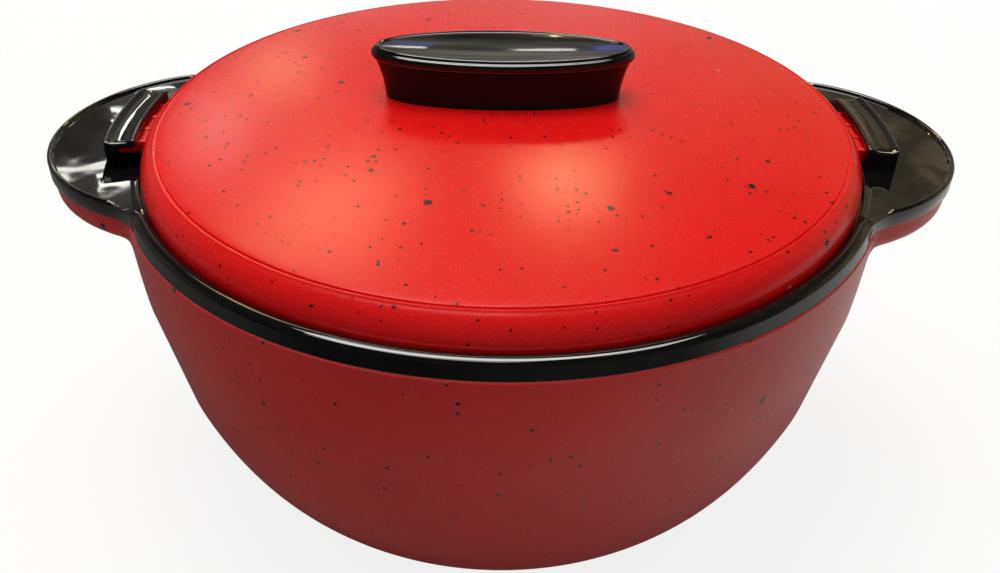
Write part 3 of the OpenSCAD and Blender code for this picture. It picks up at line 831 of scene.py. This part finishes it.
def makeTab():
    inner, outer, low, high = tab["inner"], tab["outer"], tab["low"], tab["top"]
    outline = [(inner, low), (inner, high), (outer, high), (outer, low)]
    steps = tab["ribCount"] * tab["ribSteps"] + (tab["ribCount"] - 1) * tab["panelSteps"]
    piece = spinOutline("tab", outline, -tab["half"], 2 * tab["half"], steps)
    pitch = 2 * tab["half"] / steps
    bpy.ops.object.mode_set(mode="EDIT")
    for i in range(tab["ribCount"]):
        begin = -tab["half"] + i * (tab["ribSteps"] + tab["panelSteps"]) * pitch
        bpy.ops.mesh.select_mode(type="FACE")
        bpy.ops.mesh.select_all(action="DESELECT")
        bpy.ops.object.mode_set(mode="OBJECT")
        for face in piece.data.polygons:
            azimuth = math.degrees(math.atan2(face.center.y, face.center.x))
            onTop = face.normal.z > 0.9 and face.center.z > (high - 0.2) * mm
            face.select = onTop and begin < azimuth < begin + tab["ribSteps"] * pitch
        bpy.ops.object.mode_set(mode="EDIT")
        bpy.ops.mesh.extrude_region_move(TRANSFORM_OT_translate={"value": (0, 0, tab["rib"] * mm)})
    bpy.ops.object.mode_set(mode="OBJECT")
    finishWith(piece, "BEVEL", width=tab["bevel"] * mm, segments=2, limit_method="ANGLE",
               angle_limit=math.radians(tab["bevelAngle"]))
    # the bevel leaves slivers at the ribs' feet
    bpy.ops.object.mode_set(mode="EDIT")
    bpy.ops.mesh.select_all(action="SELECT")
    bpy.ops.mesh.remove_doubles(threshold=tab["weld"] * mm)
    bpy.ops.mesh.dissolve_degenerate(threshold=tab["weld"] * mm)
    bpy.ops.object.mode_set(mode="OBJECT")
    return piece


def makeLidShell():
    low, wall, bend, cut = lid["skirtLow"], lid["wall"], lid["skirtRound"], lid["skirtCut"]
    outline = arcPoints((lid["radius"] - bend, low + bend), bend, bend, -90, 0, 4)
    outline += lidSurface(0.0, True)
    outline += reversed(lidSurface(wall, False))
    outline += [(lid["radius"] - wall, low + cut), (lid["radius"] - wall + cut, low)]
    piece = spinOutline("lidShell", outline, 0.0, 360.0, lid["steps"])
    rootOnBothSides(piece, makeTab())
    smoothByAngle(piece, lid["smooth"])
    dress(piece, redLid)
    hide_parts("lid_shell")
    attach(piece, "lid")


makeLidShell()
print("lid shell made")

# the knob: a waisted pedestal and the plate on it
knob = {
    "halfLength": 45.4,
    "halfWidth": 16.0,
    "footZ": 145.0,
    "joint": 161.0,  # the plate lies on the pedestal here
    "waist": 4.6,
    "overhang": 1.2,
    "flarePower": 2.5,
    "sideShare": 0.35,
    "pedestalSteps": 24,
    "plateLow": 1.9,
    "plateThick": 4.5,
    "edgeWidth": 2.2,
    "lowerBead": 1.4,
    "lowerFrom": -70,  # degrees
    "lowerSweep": 150,
    "grooveAt": 1.3,
    "grooveZ": 3.4,
    "grooveStep": 0.08,
    "beadWidth": 1.4,
    "beadDrop": 0.5,
    "dish": 0.9,
    "dishFirst": 0.985,
    "dishShrink": 0.97,
    "smooth": 40,
    "sides": 128,
}


def loftOval(name, rings):
    # an oval circle drawn up ring by ring; each ring is height, half-length and half-width
    clearSelection()
    height, length, width = rings[0]
    bpy.ops.mesh.primitive_circle_add(vertices=knob["sides"], radius=mm, fill_type="NGON",
                                      location=(0, 0, 0))
    piece = bpy.context.object
    piece.name = name
    bpy.ops.object.mode_set(mode="EDIT")
    bpy.ops.mesh.select_all(action="SELECT")
    bpy.ops.transform.resize(value=(length, width, 1), center_override=(0, 0, 0))
    bpy.ops.transform.translate(value=(0, 0, height * mm))
    for nextHeight, nextLength, nextWidth in rings[1:]:
        move = (0, 0, (nextHeight - height) * mm)
        bpy.ops.mesh.extrude_region_move(TRANSFORM_OT_translate={"value": move})
        stretch = (nextLength / length, nextWidth / width, 1)
        bpy.ops.transform.resize(value=stretch, center_override=(0, 0, 0))
        height, length, width = nextHeight, nextLength, nextWidth
    bpy.ops.mesh.select_all(action="SELECT")
    bpy.ops.mesh.normals_make_consistent(inside=False)
    bpy.ops.object.mode_set(mode="OBJECT")
    return piece


def pedestalRings():
    # waisted: the walls flare out towards the plate
    rings = []
    base, top, steps = lid["domeEdgeZ"], knob["joint"], knob["pedestalSteps"]
    for i in range(steps + 1):
        height = between(knob["footZ"], top, i / steps)
        share = (height - base) / (top - base)
        flare = knob["waist"] + (knob["overhang"] - knob["waist"]) * share ** knob["flarePower"]
        rings.append((height, knob["halfLength"] - flare, knob["halfWidth"] - flare * knob["sideShare"]))
    return rings


def capRings():
    rings = []
    joint, low, thick = knob["joint"], knob["plateLow"], knob["plateThick"]
    length, width = knob["halfLength"], knob["halfWidth"]
    edge, step = knob["edgeWidth"], knob["grooveStep"]
    grooveAt, grooveZ = knob["grooveAt"], knob["grooveZ"]
    for i in range(16):
        # a lower bead, then a fine groove
        angle = math.radians(knob["lowerFrom"] + knob["lowerSweep"] * i / 15)
        inset = knob["lowerBead"] * (1 - math.cos(angle))
        rise = low / math.sin(math.radians(-knob["lowerFrom"])) if angle < 0 else grooveZ - low
        rings.append((joint + low + rise * math.sin(angle), length - inset, width - inset))
    for i in range(9):
        # up the outside of the bead round the top
        angle = math.radians(90 * i / 8)
        inset = grooveAt + (edge - grooveAt) * (1 - math.cos(angle))
        height = joint + grooveZ + step + (thick - grooveZ - step) * math.sin(angle)
        rings.append((height, length - inset, width - inset))
    length, width = length - edge, width - edge
    for i in range(1, 6):
        # and down its inside
        share = i / 5
        drop = knob["beadDrop"] * (1 - math.cos(math.pi / 2 * share))
        inset = knob["beadWidth"] * math.sin(math.pi / 2 * share)
        rings.append((joint + thick - drop, length - inset, width - inset))
    length, width = length - knob["beadWidth"], width - knob["beadWidth"]
    for i in range(13):
        # the dish
        shrink = 1 - knob["dishShrink"] * i / 12 if i else knob["dishFirst"]
        sink = knob["beadDrop"] + knob["dish"] * (1 - shrink ** 2)
        rings.append((joint + thick - sink, length * shrink, width * shrink))
    return rings


def makeKnob():
    pedestal = loftOval("knobPedestal", pedestalRings())
    smoothByAngle(pedestal, knob["smooth"])
    dress(pedestal, blackPlain)
    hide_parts("knob_body")
    plate = loftOval("knobPlate", capRings())
    smoothByAngle(plate, knob["smooth"])
    dress(plate, blackKnobTop)
    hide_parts("knob_cap")
    for piece in (pedestal, plate):
        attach(piece, "lid")


makeKnob()
print("knob made")

# the CAD pieces that keep their shape
nodeFinish = {
    "inner_bowl": steelSheet,
    "lid_liner": steelSheet,
    "bowl_foam": foamCream,
    "lid_foam": foamCream,
    "lid_gasket": paleSilicone,
    "base_plug": blackPlain,
    "lid_plug": blackPlain,
    "left_ear_screws": screwSteel,
    "right_ear_screws": screwSteel,
    "knob_screws": screwSteel,
    "knob_washers": screwSteel,
}
for nodeName, finish in nodeFinish.items():
    dress(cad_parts[nodeName], finish)
print("CAD pieces dressed")

# the room: white for the camera, a dim room and a darker table for the gloss
room = {
    "floorSize": 6000.0,
    "floorPaper": 0.42,
    "floorBright": 0.9,
    "glossFloorLow": 0.16,  # left end of the table
    "glossFloorHigh": 0.66,  # right end of the table
    "glossFloorFrom": -130.0,
    "glossFloorTo": 110.0,
    # painted shade on the front of the table, seen only in the gloss
    "glossFrontShade": 0.2,
    "glossFrontFar": -330.0,
    "glossFrontNear": -190.0,
    "whiteNear": 0.85,
    "shadowNear": 150.0,
    "shadowFar": 900.0,
    "ambient": 0.33,
    "glossRoom": 0.46,
    "glossRoomHigh": 0.12,
    "shapeScale": 6.5,
    "shapeContrast": (0.45, 1.35),
    "leftDim": 0.5,
    "frontDim": 0.2,
    "tintLeft": (1.0, 0.92, 0.80, 1),
    "tintRight": (1.0, 0.80, 0.50, 1),
    "leftEdge": (-0.40, -0.24),  # the edges are parts of a direction's x, y or z
    "frontEdge": (-0.2, 0.35),
    "highEdge": (0.46, 0.56),
    "tintEdge": (0.1, 0.34),
}
lamps = [
    # name, place, width and height, power, colour
    ("topSoftbox", (-250.0, 120.0, 1900.0), (1400.0, 1300.0), 26.5, (1.0, 0.98, 0.95)),
    ("spotRight", (197.0, 1554.0, 1310.0), (230.0, 110.0), 2.0, (1.0, 0.72, 0.36)),
    ("spotLeft", (-441.0, 1508.0, 1311.0), (380.0, 160.0), 1.2, (1.0, 0.72, 0.40)),
    ("spotFarLeft", (-607.0, 1861.0, 738.0), (180.0, 80.0), 0.36, (1.0, 0.72, 0.40)),
    ("shopGlowLeft", (-566.0, 1338.0, 1442.0), (450.0, 350.0), 2.2, (1.0, 0.70, 0.40)),
    ("windowLow", (-1003.0, 2017.0, 1260.0), (110.0, 45.0), 0.14, (1.0, 0.99, 0.92)),
    ("windowLowSill", (-1085.0, 1990.0, 1215.0), (230.0, 14.0), 0.09, (1.0, 0.99, 0.92)),
    ("windowMiddle", (-975.0, 2120.0, 1170.0), (90.0, 110.0), 0.28, (1.0, 0.99, 0.92)),
    ("windowHigh", (-900.0, 2185.0, 1125.0), (130.0, 22.0), 0.10, (1.0, 0.99, 0.92)),
    ("windowTop", (-930.0, 2200.0, 1085.0), (110.0, 16.0), 0.08, (1.0, 0.99, 0.92)),
    ("knobStripRight", (120.0, 2795.0, 1230.0), (150.0, 130.0), 0.24, (1.0, 0.98, 0.90)),
    ("knobStripLeft", (-225.0, 2795.0, 1230.0), (90.0, 110.0), 0.13, (1.0, 0.98, 0.90)),
    ("knobBlueRight", (330.0, 2795.0, 1330.0), (170.0, 260.0), 0.20, (0.10, 0.22, 1.0)),
    ("knobBlueLeft", (-215.0, 2860.0, 1480.0), (110.0, 160.0), 0.06, (0.10, 0.22, 1.0)),
    ("crestPanel", (0.0, 150.0, 1750.0), (1700.0, 650.0), 33.0, (1.0, 0.99, 0.96)),
]
glossOnly = ("crestPanel",)  # seen in reflections, gives no light


def mixShaders(tree, share, first, second):
    return addNode(tree, "ShaderNodeMixShader", {0: share, 1: first, 2: second}).outputs[0]


def sortRays(tree, seen, gloss, rest):
    # one shader for the camera, one for glossy rays and one for all others
    rays = addNode(tree, "ShaderNodeLightPath").outputs
    shown = math2(tree, "MAXIMUM", rays["Is Camera Ray"], rays["Is Transmission Ray"])
    unseen = mixShaders(tree, rays["Is Glossy Ray"], rest, gloss)
    return mixShaders(tree, shown, unseen, seen)


def diffuse(tree, colour):
    return addNode(tree, "ShaderNodeBsdfDiffuse", {"Color": colour}).outputs[0]


def background(tree, colour, strength):
    return addNode(tree, "ShaderNodeBackground", {"Color": colour, "Strength": strength}).outputs[0]


def makeFloor():
    # the camera sees white paper with a light shadow, the gloss sees a darker table top with painted
    # shade at its front
    clearSelection()
    bpy.ops.mesh.primitive_plane_add(size=room["floorSize"] * mm)
    floor = bpy.context.object
    floor.name = "floor"
    material = bpy.data.materials.new("floorPaper")
    material.use_nodes = True
    tree = material.node_tree
    tree.nodes.clear()
    coords = addNode(tree, "ShaderNodeTexCoord").outputs["Object"]
    x, y = separate(tree, coords)[:2]
    level = remap(tree, x, room["glossFloorFrom"] * mm, room["glossFloorTo"] * mm,
                  room["glossFloorLow"], room["glossFloorHigh"])
    # painted shade: the table that the gloss sees turns darker towards its front, standing in for shade
    # falling there
    frontShade = remap(tree, y, room["glossFrontFar"] * mm, room["glossFrontNear"] * mm,
                  room["glossFrontShade"], 1.0)
    table = diffuse(tree, math2(tree, "MULTIPLY", level, frontShade))
    grey, bright = room["floorPaper"], room["floorBright"]
    paper = diffuse(tree, (grey, grey, grey, 1))
    white = diffuse(tree, (bright, bright, bright, 1))
    glow = addNode(tree, "ShaderNodeEmission", {"Color": (1, 1, 1, 1), "Strength": 1.0}).outputs[0]
    away = addNode(tree, "ShaderNodeVectorMath", {0: coords}, operation="LENGTH").outputs["Value"]
    share = remap(tree, away, room["shadowNear"] * mm, room["shadowFar"] * mm, room["whiteNear"], 1.0)
    seen = mixShaders(tree, share, white, glow)
    output = addNode(tree, "ShaderNodeOutputMaterial")
    tree.links.new(sortRays(tree, seen, table, paper), output.inputs["Surface"])
    dress(floor, material)


def makeWorld():
    # white for the camera, an even grey for the light, and a dim room with warm shapes for the gloss
    world = bpy.data.worlds.new("studio")
    bpy.context.scene.world = world
    world.use_nodes = True
    tree = world.node_tree
    tree.nodes.clear()
    coords = addNode(tree, "ShaderNodeTexCoord").outputs["Generated"]
    x, y, z = separate(tree, coords)
    shapes = addNode(tree, "ShaderNodeTexNoise", {"Vector": coords, "Scale": room["shapeScale"],
                                                  "Detail": 4.0, "Distortion": 1.5})
    pattern = remap(tree, shapes.outputs["Fac"], 0.38, 0.62, *room["shapeContrast"])
    leftDim = remap(tree, x, *room["leftEdge"], room["leftDim"], 1.0)
    frontDim = remap(tree, y, *room["frontEdge"], room["frontDim"], 1.0)
    fade = remap(tree, z, *room["highEdge"], room["glossRoom"], room["glossRoomHigh"])
    for dimming in (leftDim, frontDim, fade):
        pattern = math2(tree, "MULTIPLY", pattern, dimming)
    share = remap(tree, x, *room["tintEdge"], 0.0, 1.0)
    gloss = background(tree, mixColour(tree, share, room["tintLeft"], room["tintRight"]), pattern)
    walls = background(tree, (1, 1, 1, 1), room["ambient"])
    white = background(tree, (1, 1, 1, 1), 1.0)
    output = addNode(tree, "ShaderNodeOutputWorld")
    tree.links.new(sortRays(tree, white, gloss, walls), output.inputs["Surface"])


def makeLamps():
    for name, place, size, power, colour in lamps:
        data = bpy.data.lights.new(name, "AREA")
        data.shape = "RECTANGLE"
        data.size = size[0] * mm
        data.size_y = size[1] * mm
        data.energy = power
        data.color = colour
        lamp = bpy.data.objects.new(name, data)
        lamp.visible_diffuse = name not in glossOnly
        bpy.context.scene.collection.objects.link(lamp)
        position = Matrix.Translation([value * mm for value in place])
        aim = position.translation.normalized().to_track_quat("Z", "Y").to_matrix().to_4x4()
        lamp.matrix_world = position @ aim


makeFloor()
makeWorld()
makeLamps()
print("stage and lamps set")
